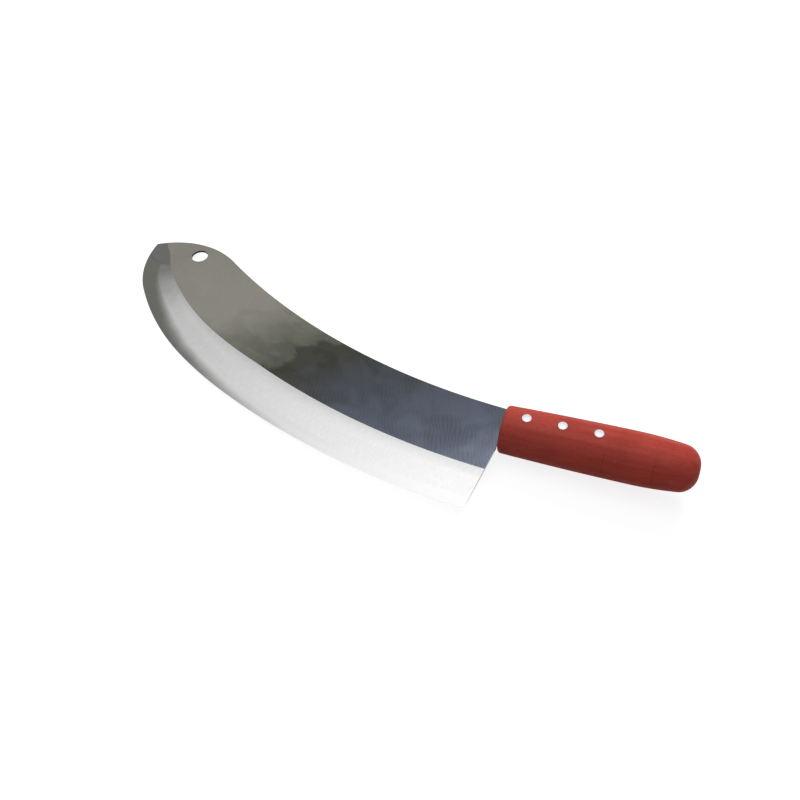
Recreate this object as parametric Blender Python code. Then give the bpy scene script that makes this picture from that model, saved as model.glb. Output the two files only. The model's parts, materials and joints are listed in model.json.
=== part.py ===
"""Curved mincing knife with one handle, lying on its side.

A broad steel blade, hooked towards its spine, narrows to a flat tang. The tang lies in a slot sawn
into the back of a one-piece wooden handle, and three rivets with domed heads hold it there.

Lengths are in metres. The knife is drawn in its own frame: the origin is the middle of the handle's
front face, +X runs along the handle to its butt, +Y towards the spine and +Z out of the side that
shows. The finished knife is then laid on the ground as it rests, with the middle of its base at the
world's origin.
"""

import math

import bmesh
import bpy
import numpy as np
from mathutils import Matrix, Vector

# Play between two pieces that touch
SEAT_GAP = 0.0003

# Blade, seen from the side
SPINE_HEIGHT = 0.0226
SPINE_SLOPE = math.radians(4.1)
SPINE_RADIUS = 0.6773
BLADE_WIDTH = 0.1188
HEEL_SETBACK = 0.0108
HEEL_CORNER_RADIUS = 0.004
BELLY_SWEEP = math.radians(19.7)
CHEEK_RADIUS = 0.498
CHEEK_SWEEP = math.radians(8.1)
BROW_RADIUS = 0.2935
BROW_SWEEP = math.radians(22.0)
NOSE_RADIUS = 0.098
NOSE_SWEEP = math.radians(42.5)
HEAD_CORNER = math.radians(114.9)
HEAD_LINE = 0.0196
SHOULDER_RADIUS = 0.0878

# Blade, across its section
BLADE_THICKNESS = 0.0032
BEVEL_WIDTH = 0.046
FACET_WIDTH = 0.012
FACET_THICKNESS = 0.0016
EDGE_THICKNESS = 0.0003
BEVEL_TAPER = 0.23
TIP_RUN = 0.001

# Hanging hole, placed back along the shoulder's arc from its end at the head
HOLE_DIAMETER = 0.0179
HOLE_INSET = 0.0167
HOLE_SWEEP = math.radians(26.4)

# Tang
TANG_THICKNESS = 0.0026
TANG_LENGTH = 0.106
TANG_DEPTH = 0.034
TANG_ROOT = 0.012

# Handle, with its width across the blade's plane and its thickness through it
HANDLE_LENGTH = 0.180
FRONT_WIDTH = 0.0480
SWELL_WIDTH = 0.0528
BUTT_WIDTH = 0.0390
FRONT_THICKNESS = 0.0406
SWELL_THICKNESS = 0.0424
BUTT_THICKNESS = 0.0404
SWELL_PLACE = 0.120
FRONT_ROUNDING = 0.0035
BUTT_ROUNDING = 0.0155

# Rivets
RIVET_NAMES = ("rivet_front", "rivet_middle", "rivet_rear")
FIRST_RIVET = 0.0215
RIVET_SPACING = 0.0332
RIVET_RISE = 0.0020
SHANK_DIAMETER = 0.0050
HEAD_DIAMETER = 0.0090
HEAD_RIM = 0.0004
HEAD_HEIGHT = 0.0017

# Densities, which decide how the knife lies
STEEL_DENSITY = 7850.0
WOOD_DENSITY = 720.0
ALUMINIUM_DENSITY = 2700.0

# Fineness of the facets
CHORD_ERROR = 0.00003
HANDLE_SIDES = 48
RIVET_SIDES = 24
DOME_STEPS = 4
ROUNDING_STEPS = 7
CORNER_STEPS = 5
HANDLE_RINGS = 14
TANG_PLACES = 12
ROUND_CREASE = math.radians(25.0)
PLATE_CREASE = math.radians(1.0)


def clear_scene():
    """Removes every object that the new file opens with."""
    for thing in list(bpy.data.objects):
        bpy.data.objects.remove(thing, do_unlink=True)


def make_material(name, colour, roughness, metallic):
    """A plain Principled material from a linear colour."""
    material = bpy.data.materials.new(name)
    material.use_nodes = True
    shader = material.node_tree.nodes["Principled BSDF"]
    shader.inputs["Base Color"].default_value = (*colour, 1.0)
    shader.inputs["Roughness"].default_value = roughness
    shader.inputs["Metallic"].default_value = metallic
    return material


def add_object(name, vertices, faces, material=None):
    """A closed mesh object with its faces pointing out."""
    shape = bmesh.new()
    corners = [shape.verts.new(v) for v in vertices]
    for face in faces:
        shape.faces.new([corners[i] for i in face])
    bmesh.ops.recalc_face_normals(shape, faces=shape.faces)
    mesh = bpy.data.meshes.new(name)
    shape.to_mesh(mesh)
    shape.free()
    if material:
        mesh.materials.append(material)
    thing = bpy.data.objects.new(name, mesh)
    bpy.context.scene.collection.objects.link(thing)
    return thing


def shade_round(thing, angle=ROUND_CREASE):
    """Smooth shading that keeps edges sharper than the angle."""
    thing.data.shade_smooth()
    thing.data.set_sharp_from_angle(angle=angle)


def cut(thing, cutter):
    """Takes a hidden cutter's shape out of a piece."""
    cutter.display_type = "WIRE"
    cutter.hide_render = True
    modifier = thing.modifiers.new(cutter.name, "BOOLEAN")
    modifier.operation = "DIFFERENCE"
    modifier.solver = "EXACT"
    modifier.object = cutter


def arc_steps(radius, sweep):
    """Number of chords that keep an arc within the chord error."""
    longest = math.sqrt(8.0 * radius * CHORD_ERROR)
    return max(2, math.ceil(radius * abs(sweep) / longest))


def follow_arc(start, heading, radius, turn):
    """Points along an arc that leaves start along heading and turns left by turn (right if negative).

    Returns the points after start, and the heading at the end.
    """
    side = math.copysign(1.0, turn)
    centre = start + radius * side * np.array([-math.sin(heading), math.cos(heading)])
    angles = heading + turn * np.linspace(0.0, 1.0, arc_steps(radius, turn) + 1)[1:]
    normals = np.column_stack([-np.sin(angles), np.cos(angles)])
    return centre - radius * side * normals, heading + turn


def prism(outline, low, high):
    """Vertices and faces of an outline carried straight up from one height to another."""
    count = len(outline)
    vertices = [(x, y, low) for x, y in outline] + [(x, y, high) for x, y in outline]
    faces = [tuple(range(count))[::-1], tuple(range(count, 2 * count))]
    for i in range(count):
        j = (i + 1) % count
        faces.append((i, j, count + j, count + i))
    return vertices, faces


def turned(profile, sides):
    """Vertices and faces of a closed profile of (radius, height) pairs turned round the Z axis.

    The first and last points lie on the axis.
    """
    vertices = [(0.0, 0.0, profile[0][1])]
    for radius, height in profile[1:-1]:
        for k in range(sides):
            angle = 2.0 * math.pi * k / sides
            vertices.append((radius * math.cos(angle), radius * math.sin(angle), height))
    vertices.append((0.0, 0.0, profile[-1][1]))
    last = len(vertices) - 1
    rings = len(profile) - 2
    faces = []
    for k in range(sides):
        n = (k + 1) % sides
        faces.append((0, 1 + k, 1 + n))
        for ring in range(rings - 1):
            a, b = 1 + ring * sides, 1 + (ring + 1) * sides
            faces.append((a + k, b + k, b + n, a + n))
        faces.append((last, last - sides + n, last - sides + k))
    return vertices, faces


def spine_centre():
    """Centre of the spine's arc, about which the belly of the edge is concentric."""
    reach = SPINE_RADIUS * math.sin(SPINE_SLOPE)
    return np.array([reach, SPINE_HEIGHT + SPINE_RADIUS * math.cos(SPINE_SLOPE)])


def heel_crossing(radius):
    """Angle about the spine's centre at which the heel's straight line crosses a circle of that radius."""
    centre = spine_centre()
    top = np.array([-SEAT_GAP, -FRONT_WIDTH / 2.0]) - centre
    edge_radius = SPINE_RADIUS + BLADE_WIDTH
    first = math.asin((centre[0] + HEEL_SETBACK) / edge_radius)
    corner = -edge_radius * np.array([math.sin(first), math.cos(first)])
    along = corner - top
    a, b, c = along @ along, 2.0 * top @ along, top @ top - radius * radius
    reach = (-b + math.sqrt(b * b - 4.0 * a * c)) / (2.0 * a)
    point = top + reach * along
    return math.atan2(-point[0], -point[1])


def belly_line(shares, inset, end):
    """Part of the edge, facet line or bevel line that is concentric with the spine, from the heel."""
    radius = SPINE_RADIUS + BLADE_WIDTH - inset
    start = heel_crossing(radius)
    angles = start + (end - start) * shares
    directions = np.column_stack([np.sin(angles), np.cos(angles)])
    return spine_centre() - radius * directions


def round_heel(line, shares, length):
    """Lifts the first stretch of the edge so that it runs into the heel with a small radius."""
    along = shares * length
    inside = along < HEEL_CORNER_RADIUS
    rest = HEEL_CORNER_RADIUS - along[inside]
    lift = HEEL_CORNER_RADIUS - np.sqrt(HEEL_CORNER_RADIUS**2 - rest**2)
    inward = spine_centre() - line[inside]
    inward /= np.linalg.norm(inward, axis=1)[:, None]
    line[inside] += lift[:, None] * inward
    return line


def head_edge(end):
    """The edge round the head, from the end of the belly to the tip, and its heading at each point."""
    point = spine_centre() - (SPINE_RADIUS + BLADE_WIDTH) * np.array([math.sin(end), math.cos(end)])
    heading = math.pi - end
    arcs = ((CHEEK_RADIUS, CHEEK_SWEEP), (BROW_RADIUS, BROW_SWEEP), (NOSE_RADIUS, NOSE_SWEEP))
    head, headings = [], []
    for radius, sweep in arcs:
        points, next_heading = follow_arc(point, heading, radius, -sweep)
        headings.append(np.linspace(heading, next_heading, len(points) + 1)[1:])
        head.append(points)
        point, heading = points[-1], next_heading
    return np.vstack(head), np.concatenate(headings)


def belly_end():
    """Angle about the spine's centre at which the belly ends and the head begins."""
    return heel_crossing(SPINE_RADIUS + BLADE_WIDTH) + BELLY_SWEEP


def head_line():
    """The tip, and the direction of the straight line that runs from it to the shoulder."""
    points, headings = head_edge(belly_end())
    along = headings[-1] - (math.pi - HEAD_CORNER)
    return points[-1], np.array([math.cos(along), math.sin(along)])


def shoulder_place():
    """Centre of the shoulder's arc, and the bearings from there of its two ends.

    The arc starts where it is tangent to the spine and ends at the head line.
    """
    tip, along = head_line()
    centre, end = spine_centre(), tip + HEAD_LINE * along
    reach, spread = np.linalg.norm(end - centre), SPINE_RADIUS + SHOULDER_RADIUS
    between = (reach**2 + spread**2 - SHOULDER_RADIUS**2) / (2.0 * reach * spread)
    turn = math.atan2(centre[0] - end[0], centre[1] - end[1]) - math.acos(between)
    hub = centre - spread * np.array([math.sin(turn), math.cos(turn)])
    return hub, math.pi / 2.0 - turn, math.atan2(end[1] - hub[1], end[0] - hub[0])


def spine_and_shoulder():
    """The spine from the handle to the shoulder, and the shoulder to its end at the head line."""
    centre = spine_centre()
    first = math.asin((centre[0] + SEAT_GAP) / SPINE_RADIUS)
    start = centre - SPINE_RADIUS * np.array([math.sin(first), math.cos(first)])
    _, begin, end = shoulder_place()
    sweep = math.pi / 2.0 - begin - first
    spine, heading = follow_arc(start, math.pi - first, SPINE_RADIUS, -sweep)
    shoulder, _ = follow_arc(spine[-1], heading, SHOULDER_RADIUS, end - begin)
    return np.vstack([start, spine, shoulder])


def hole_place():
    """Middle of the hanging hole, on a radius of the shoulder's arc."""
    hub, _, end = shoulder_place()
    bearing = end - HOLE_SWEEP
    return hub + (SHOULDER_RADIUS - HOLE_INSET) * np.array([math.cos(bearing), math.sin(bearing)])


def ground_lines():
    """Edge, facet line and bevel line from the heel to the tip, point for point."""
    radius = SPINE_RADIUS + BLADE_WIDTH
    length, end = radius * BELLY_SWEEP, belly_end()
    corner = 1.0 - np.cos(np.linspace(0.0, math.pi / 2.0, CORNER_STEPS + 1))
    corner *= HEEL_CORNER_RADIUS / length
    plain = np.linspace(corner[-1], 1.0, arc_steps(radius, BELLY_SWEEP) + 1)
    shares = np.concatenate([corner, plain[1:]])
    edge = round_heel(belly_line(shares, 0.0, end), shares, length)
    facet = belly_line(shares, FACET_WIDTH, end)
    bevel = belly_line(shares, BEVEL_WIDTH, end)

    head, headings = head_edge(end)
    steps = np.linalg.norm(np.diff(np.vstack([edge[-1], head]), axis=0), axis=1)
    left = np.clip(steps.sum() - np.cumsum(steps), TIP_RUN, None)
    narrowing = ((left / steps.sum()) ** BEVEL_TAPER)[:, None]
    inward = np.column_stack([np.sin(headings), -np.cos(headings)])
    inward[-1] = head_line()[1]
    edge = np.vstack([edge, head])
    facet = np.vstack([facet, head + FACET_WIDTH * narrowing * inward])
    bevel = np.vstack([bevel, head + BEVEL_WIDTH * narrowing * inward])
    return edge, facet, bevel


def handle_half(place, front, swell, butt):
    """Half of the handle's width or thickness at a place along it, before its ends are rounded."""
    before = np.clip((SWELL_PLACE - place) / SWELL_PLACE, 0.0, 1.0)
    after = np.clip((place - SWELL_PLACE) / (HANDLE_LENGTH - SWELL_PLACE), 0.0, 1.0)
    return (swell - (swell - front) * before**2 - (swell - butt) * after**2) / 2.0


def half_width(place):
    """Half of the handle's width across the blade's plane."""
    return handle_half(place, FRONT_WIDTH, SWELL_WIDTH, BUTT_WIDTH)


def half_thickness(place):
    """Half of the handle's thickness through the blade's plane."""
    return handle_half(place, FRONT_THICKNESS, SWELL_THICKNESS, BUTT_THICKNESS)


def end_inset(place):
    """How far the rounding at the front and at the butt draws the handle's surface in."""
    front = np.clip(FRONT_ROUNDING - place, 0.0, FRONT_ROUNDING)
    butt = np.clip(place - HANDLE_LENGTH + BUTT_ROUNDING, 0.0, BUTT_ROUNDING)
    drawn = FRONT_ROUNDING - np.sqrt(FRONT_ROUNDING**2 - front**2)
    return drawn + BUTT_ROUNDING - np.sqrt(BUTT_ROUNDING**2 - butt**2)


def handle_places():
    """Places along the handle of its rings of facets, closer together where it is rounded."""
    quarter = np.linspace(0.0, math.pi / 2.0, ROUNDING_STEPS + 1)
    front = FRONT_ROUNDING * (1.0 - np.cos(quarter[::2]))
    butt = HANDLE_LENGTH - BUTT_ROUNDING * (1.0 - np.sin(quarter))
    middle = np.linspace(front[-1], butt[0], HANDLE_RINGS)[1:-1]
    return np.concatenate([front, middle, butt])


def make_handle(material):
    """The wooden handle before its slot and holes are cut: an oval that swells towards the butt."""
    vertices, faces = [], []
    places = handle_places()
    for place in places:
        inset = end_inset(place)
        wide, thick = half_width(place) - inset, half_thickness(place) - inset
        for k in range(HANDLE_SIDES):
            angle = 2.0 * math.pi * k / HANDLE_SIDES
            vertices.append((place, wide * math.cos(angle), thick * math.sin(angle)))
    for ring in range(len(places) - 1):
        for k in range(HANDLE_SIDES):
            n = (k + 1) % HANDLE_SIDES
            a, b = ring * HANDLE_SIDES, (ring + 1) * HANDLE_SIDES
            faces.append((a + k, a + n, b + n, b + k))
    faces.append(tuple(range(HANDLE_SIDES)))
    faces.append(tuple(range(len(vertices) - HANDLE_SIDES, len(vertices))))
    return add_object("handle", vertices, faces, material)


def tang_bottom():
    """Height of the tang's lower edge, measured down from the handle's back at its front."""
    return FRONT_WIDTH / 2.0 - TANG_DEPTH


def make_tang(material):
    """The flat tongue of steel that the handle holds, with its back flush with the handle's back."""
    places = np.linspace(0.0, TANG_LENGTH, TANG_PLACES)
    back = [(x, half_width(x) - SEAT_GAP) for x in places]
    root = [(-TANG_ROOT, tang_bottom()), (-TANG_ROOT, SPINE_HEIGHT - SEAT_GAP)]
    front = [(0.0, SPINE_HEIGHT - SEAT_GAP)]
    outline = [(TANG_LENGTH, tang_bottom())] + back[:0:-1] + front + root[::-1]
    vertices, faces = prism(outline, -TANG_THICKNESS / 2.0, TANG_THICKNESS / 2.0)
    return add_object("tang", vertices, faces, material)


def make_blade(material):
    """The ground blade: a flat plate that thins over its bevel and its edge facet."""
    edge, facet, bevel = ground_lines()
    heel_top = np.array([-SEAT_GAP, -FRONT_WIDTH / 2.0])
    back = np.vstack([spine_and_shoulder()[::-1], heel_top])
    count, tail = len(edge), len(back)
    layers = (
        (bevel, BLADE_THICKNESS),
        (facet, FACET_THICKNESS),
        (edge, EDGE_THICKNESS),
        (edge, -EDGE_THICKNESS),
        (facet, -FACET_THICKNESS),
        (bevel, -BLADE_THICKNESS),
    )
    vertices = [(x, y, z / 2.0) for line, z in layers for x, y in line]
    top = len(vertices)
    vertices += [(x, y, BLADE_THICKNESS / 2.0) for x, y in back]
    vertices += [(x, y, -BLADE_THICKNESS / 2.0) for x, y in back]
    under = top + tail
    last_layer = (len(layers) - 1) * count
    faces = []
    for layer in range(len(layers) - 1):
        a, b = layer * count, (layer + 1) * count
        for i in range(count - 1):
            faces.append((a + i, b + i, b + i + 1, a + i + 1))
    faces.append(tuple(layer * count for layer in range(len(layers))))
    faces.append(tuple(layer * count + count - 1 for layer in range(len(layers)))[::-1])
    faces.append(tuple(range(count)) + tuple(range(top, top + tail)))
    under_ring = tuple(range(last_layer, last_layer + count)) + tuple(range(under, under + tail))
    faces.append(under_ring[::-1])
    upper = [count - 1] + list(range(top, top + tail)) + [0]
    lower = [last_layer + count - 1] + list(range(under, under + tail)) + [last_layer]
    for i in range(len(upper) - 1):
        faces.append((upper[i], lower[i], lower[i + 1], upper[i + 1]))
    return add_object("blade", vertices, faces, material)


def rivet_places():
    """Where each rivet stands along the handle."""
    return [FIRST_RIVET + RIVET_SPACING * k for k in range(len(RIVET_NAMES))]


def seat_height(place):
    """Height of a rivet's spot-faced seat: the lowest wood under its head."""
    reach = RIVET_RISE + HEAD_DIAMETER / 2.0 + SEAT_GAP
    return half_thickness(place) * math.sqrt(1.0 - (reach / half_width(place)) ** 2)


def rivet_profile(place):
    """Profile of a rivet from its lower dome to its upper one."""
    under = seat_height(place) + SEAT_GAP
    shank, head = SHANK_DIAMETER / 2.0, HEAD_DIAMETER / 2.0
    dome = []
    for k in range(DOME_STEPS + 1):
        angle = math.pi / 2.0 * k / DOME_STEPS
        rise = (HEAD_HEIGHT - HEAD_RIM) * math.sin(angle)
        dome.append((head * math.cos(angle), under + HEAD_RIM + rise))
    dome[-1] = (0.0, under + HEAD_HEIGHT)
    upper = [(shank, under), (head, under)] + dome
    return [(radius, -height) for radius, height in upper[::-1]] + upper


def hole_profile(place):
    """Profile of the hole that a rivet needs: its shank's bore and a seat for each head."""
    bore = SHANK_DIAMETER / 2.0 + SEAT_GAP
    seat = HEAD_DIAMETER / 2.0 + SEAT_GAP
    height, clear = seat_height(place), half_thickness(place) + HEAD_HEIGHT
    upper = [(bore, height), (seat, height), (seat, clear), (0.0, clear)]
    return [(radius, -z) for radius, z in upper[::-1]] + upper


def make_rivet(name, place, material):
    """One rivet with a domed head on each side of the handle."""
    vertices, faces = turned(rivet_profile(place), RIVET_SIDES)
    rivet = add_object(name, vertices, faces, material)
    rivet.location = (place, RIVET_RISE, 0.0)
    shade_round(rivet)
    return rivet


def make_cylinder(name, diameter, height, middle):
    """A round cutter that stands on the blade's plane."""
    sides = arc_steps(diameter / 2.0, 2.0 * math.pi)
    profile = [(0.0, -height / 2.0), (diameter / 2.0, -height / 2.0)]
    profile += [(diameter / 2.0, height / 2.0), (0.0, height / 2.0)]
    vertices, faces = turned(profile, sides)
    cylinder = add_object(name, vertices, faces)
    cylinder.location = (middle[0], middle[1], 0.0)
    return cylinder


def make_slot():
    """Cutter for the slot, open at the handle's front and along its back."""
    half = TANG_THICKNESS / 2.0 + SEAT_GAP
    low, high = tang_bottom() - SEAT_GAP, SWELL_WIDTH
    outline = [(-SWELL_WIDTH, low), (TANG_LENGTH + SEAT_GAP, low)]
    outline += [(TANG_LENGTH + SEAT_GAP, high), (-SWELL_WIDTH, high)]
    vertices, faces = prism(outline, -half, half)
    return add_object("slot_cutter", vertices, faces)


def join_tang(blade, tang):
    """Makes the tang one piece of steel with the blade."""
    tang.display_type = "WIRE"
    tang.hide_render = True
    union = blade.modifiers.new("tang", "BOOLEAN")
    union.operation = "UNION"
    union.solver = "EXACT"
    union.object = tang


def body_points(thing):
    """A piece's finished corners, its volume and its volume's middle, in the knife's frame."""
    finished = thing.evaluated_get(bpy.context.evaluated_depsgraph_get())
    mesh = finished.to_mesh()
    points = np.array([thing.matrix_world @ v.co for v in mesh.vertices])
    mesh.calc_loop_triangles()
    corners = points[np.array([t.vertices[:] for t in mesh.loop_triangles])]
    finished.to_mesh_clear()
    cells = np.einsum("ij,ij->i", corners[:, 0], np.cross(corners[:, 1], corners[:, 2])) / 6.0
    volume = cells.sum()
    return points, volume, (cells[:, None] * corners.sum(axis=1) / 4.0).sum(axis=0) / volume


def resting_turn(points, balance):
    """Turn that brings down the face of the hull that the knife can stand on and that is nearest down."""
    hull = bmesh.new()
    for point in points:
        hull.verts.new(point)
    bmesh.ops.convex_hull(hull, input=hull.verts)
    bmesh.ops.triangulate(hull, faces=hull.faces)
    bmesh.ops.recalc_face_normals(hull, faces=hull.faces)
    lowest = None
    for face in hull.faces:
        a, b, c = (corner.vert.co for corner in face.loops)
        foot = balance + face.normal * (a - balance).dot(face.normal)
        sides = ((a, b), (b, c), (c, a))
        inside = all((q - p).cross(foot - p).dot(face.normal) >= 0.0 for p, q in sides)
        if inside and (lowest is None or face.normal.z < lowest.z):
            lowest = face.normal.copy()
    hull.free()
    return lowest.rotation_difference(Vector((0.0, 0.0, -1.0)))


def lay_down(knife, pieces):
    """Lays the knife as it rests, with the middle of its base at the world's origin."""
    clouds, weights, middles = [], [], []
    for thing, density in pieces:
        points, volume, middle = body_points(thing)
        clouds.append(points)
        weights.append(volume * density)
        middles.append(middle)
    points = np.vstack(clouds)
    balance = Vector(np.average(middles, axis=0, weights=weights))
    turn = resting_turn(points, balance)
    turned_points = points @ np.array(turn.to_matrix()).T
    low, high = turned_points.min(axis=0), turned_points.max(axis=0)
    base = Vector(((low[0] + high[0]) / 2.0, (low[1] + high[1]) / 2.0, low[2]))
    knife.matrix_world = Matrix.Translation(-base) @ turn.to_matrix().to_4x4()


def main():
    """Builds the knife."""
    clear_scene()
    steel = make_material("ground_steel", (0.21, 0.21, 0.20), 0.30, 1.0)
    wood = make_material("red_stained_wood", (0.27, 0.052, 0.040), 0.45, 0.0)
    rivet_metal = make_material("polished_aluminium", (0.80, 0.80, 0.81), 0.25, 1.0)

    blade = make_blade(steel)
    tang = make_tang(steel)
    join_tang(blade, tang)
    hole_cutter = make_cylinder("hanging_hole_cutter", HOLE_DIAMETER, SWELL_WIDTH, hole_place())
    cut(blade, hole_cutter)
    handle = make_handle(wood)
    slot_cutter = make_slot()
    cut(handle, slot_cutter)
    parts = [tang, hole_cutter, slot_cutter]
    pieces = [(blade, STEEL_DENSITY), (handle, WOOD_DENSITY)]
    for name, place in zip(RIVET_NAMES, rivet_places()):
        middle = (place, RIVET_RISE)
        shank_size = SHANK_DIAMETER + 2.0 * SEAT_GAP
        bore_cutter = make_cylinder(name + "_bore_cutter", shank_size, SWELL_WIDTH, middle)
        cut(blade, bore_cutter)
        vertices, faces = turned(hole_profile(place), RIVET_SIDES)
        seat_cutter = add_object(name + "_seat_cutter", vertices, faces)
        seat_cutter.location = (place, RIVET_RISE, 0.0)
        cut(handle, seat_cutter)
        parts += [bore_cutter, seat_cutter]
        pieces.append((make_rivet(name, place, rivet_metal), ALUMINIUM_DENSITY))
    shade_round(handle)
    shade_round(blade, PLATE_CREASE)

    knife = bpy.data.objects.new("knife", None)
    bpy.context.scene.collection.objects.link(knife)
    for thing in parts + [piece for piece, _ in pieces]:
        thing.parent = knife
    bpy.context.view_layer.update()
    lay_down(knife, pieces)
    bpy.context.view_layer.update()


main()
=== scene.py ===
"""Dresses the curved mincing knife: a ground steel blade, a red-stained wooden handle and three rivets.

Lengths are in metres. Each piece is worked out in the knife's own frame, whose origin is the middle of
the handle's front face, with +X along the handle to its butt, +Y towards the spine and +Z out of the
side that shows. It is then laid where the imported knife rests.
"""

import json
import logging
import math
from collections.abc import Sequence
from dataclasses import dataclass
from enum import IntEnum

import bmesh
import bpy
import numpy as np
from mathutils import Matrix, Vector

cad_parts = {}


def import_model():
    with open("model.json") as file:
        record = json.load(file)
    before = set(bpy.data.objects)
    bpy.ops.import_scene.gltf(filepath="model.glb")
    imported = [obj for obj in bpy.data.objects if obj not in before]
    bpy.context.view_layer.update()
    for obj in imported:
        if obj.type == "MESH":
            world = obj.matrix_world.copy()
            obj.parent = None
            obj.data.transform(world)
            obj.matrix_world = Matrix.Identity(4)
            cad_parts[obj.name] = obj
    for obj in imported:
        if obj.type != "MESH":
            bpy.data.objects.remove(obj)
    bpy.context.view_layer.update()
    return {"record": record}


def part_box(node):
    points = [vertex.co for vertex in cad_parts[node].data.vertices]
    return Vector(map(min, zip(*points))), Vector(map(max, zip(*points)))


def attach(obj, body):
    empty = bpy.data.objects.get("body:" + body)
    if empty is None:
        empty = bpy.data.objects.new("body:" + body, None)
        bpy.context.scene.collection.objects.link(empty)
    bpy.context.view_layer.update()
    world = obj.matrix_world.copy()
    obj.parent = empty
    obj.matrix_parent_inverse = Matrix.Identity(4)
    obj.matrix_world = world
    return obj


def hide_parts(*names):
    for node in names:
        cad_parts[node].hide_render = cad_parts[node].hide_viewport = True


Pair = tuple[float, float]
Triple = tuple[float, float, float]
Array = np.ndarray
Socket = bpy.types.NodeSocket
Material = bpy.types.Material

LOG = logging.getLogger("mincing_knife")
BODY = "root"
WELD = 0.000002
FLOW_MAP = "grind_flow"
RIVET_PLACES = {"rivet_front": 0.0215, "rivet_middle": 0.0547, "rivet_rear": 0.0879}
RING_SIDES = 64
# Values between which a noise texture mostly stays, and the gap of a wave texture's rings at scale 1.
NOISE_SPAN = (0.3, 0.7)
RING_GAP = 0.314
MM_PER_METRE = 1000.0


class Zone(IntEnum):
    """Surfaces of a piece between which the arris stays crisp."""

    FLAT = 0
    BEVEL = 1
    FACET = 2
    EDGE = 3
    END = 4
    TANG = 5
    OUTER = 6
    CUT = 7
    FACE = 8


Finishes = Sequence[tuple[set[Zone], Material]]


def linear(colour: str) -> tuple[float, float, float, float]:
    """Turns an sRGB hex colour into linear light.

    Args:
        colour: Six hex digits, such as "a35048".

    Returns:
        Linear red, green and blue, and an alpha of 1.
    """
    channels = [int(colour[i : i + 2], 16) / 255.0 for i in (0, 2, 4)]
    light = [c / 12.92 if c <= 0.04045 else ((c + 0.055) / 1.055) ** 2.4 for c in channels]
    return (light[0], light[1], light[2], 1.0)


def span(
    value: Socket,
    low: float = 0.0,
    high: float = 1.0,
    first: float | Socket = 0.0,
    last: float | Socket = 1.0,
) -> dict[int, float | Socket]:
    """Sockets of a range that carries low to first and high to last."""
    return {0: value, 1: low, 2: high, 3: first, 4: last}


class Nodes:
    """The shader nodes of a material or of the sky, with all that is shared in making them."""

    def __init__(self, owner: Material | bpy.types.World) -> None:
        """Opens the owner's node tree.

        Args:
            owner: The material, or the world that holds the sky.
        """
        owner.use_nodes = True
        self.owner = owner
        self.tree = owner.node_tree
        self.shader = self.tree.nodes.get("Principled BSDF")

    def fill(self, node: bpy.types.Node, sockets: dict) -> None:
        """Gives a node's inputs their values and links.

        Args:
            node: The node.
            sockets: Inputs by name or number: a plain value, an sRGB hex colour or another's output.
        """
        for key, value in sockets.items():
            if isinstance(value, Socket):
                self.tree.links.new(value, node.inputs[key])
            else:
                node.inputs[key].default_value = linear(value) if isinstance(value, str) else value

    def add(
        self,
        kind: str,
        sockets: dict | None = None,
        out: int | str = 0,
        stops: Sequence[tuple[float, str]] = (),
        **settings: object,
    ) -> Socket | None:
        """Adds a shader node.

        Args:
            kind: Blender's type name of the node, without its "ShaderNode" prefix.
            sockets: Its inputs, as in fill.
            out: Number or name of the output that is wanted.
            stops: Place and sRGB hex colour of each stop, where the node is a ramp.
            **settings: The node's own properties.

        Returns:
            The wanted output, or None for a node without outputs.
        """
        node = self.tree.nodes.new("ShaderNode" + kind)
        for name, value in settings.items():
            setattr(node, name, value)
        self.fill(node, sockets or {})
        for number, (place, colour) in enumerate(stops):
            elements = node.color_ramp.elements
            element = elements[number] if number < len(elements) else elements.new(place)
            element.position = place
            element.color = linear(colour)
        return node.outputs[out] if len(node.outputs) else None

    def patches(self, space: Socket, sizes: Sequence[float], **look: float) -> Socket:
        """Noise in patches of these sizes in millimetres along the three axes of a space in metres."""
        scaled = self.add("Mapping", {0: space, 3: Vector([MM_PER_METRE / size for size in sizes])})
        return self.add("TexNoise", {0: scaled, "Scale": 1.0, **look})

    def darken(self, tone: Socket, factors: Sequence[Socket]) -> Socket:
        """Multiplies a tone by each of the factors in turn.

        Args:
            tone: The tone.
            factors: What it is multiplied by.

        Returns:
            The darker tone.
        """
        for factor in factors:
            sockets = {0: 1.0, 6: tone, 7: factor}
            tone = self.add("Mix", sockets, 2, data_type="RGBA", blend_type="MULTIPLY")
        return tone

    def surface(
        self,
        tone: Socket,
        rough: dict,
        relief: tuple[Socket, float, float],
        metallic: float = 1.0,
        sunk: bool = False,
    ) -> Material:
        """Gives the material its tone, roughness and relief.

        Args:
            tone: Its base colour.
            rough: Sockets of the range that its roughness follows.
            relief: What its relief follows, with the relief's strength and its height in metres.
            metallic: 1 for a metal and 0 for anything else.
            sunk: True where the relief goes into the surface.

        Returns:
            The material.
        """
        sockets = dict(zip(("Height", "Strength", "Distance"), relief))
        parts = {"Base Color": tone, "Roughness": self.add("MapRange", rough), "Metallic": metallic}
        self.fill(self.shader, parts | {"Normal": self.add("Bump", sockets, invert=sunk)})
        return self.owner


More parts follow.
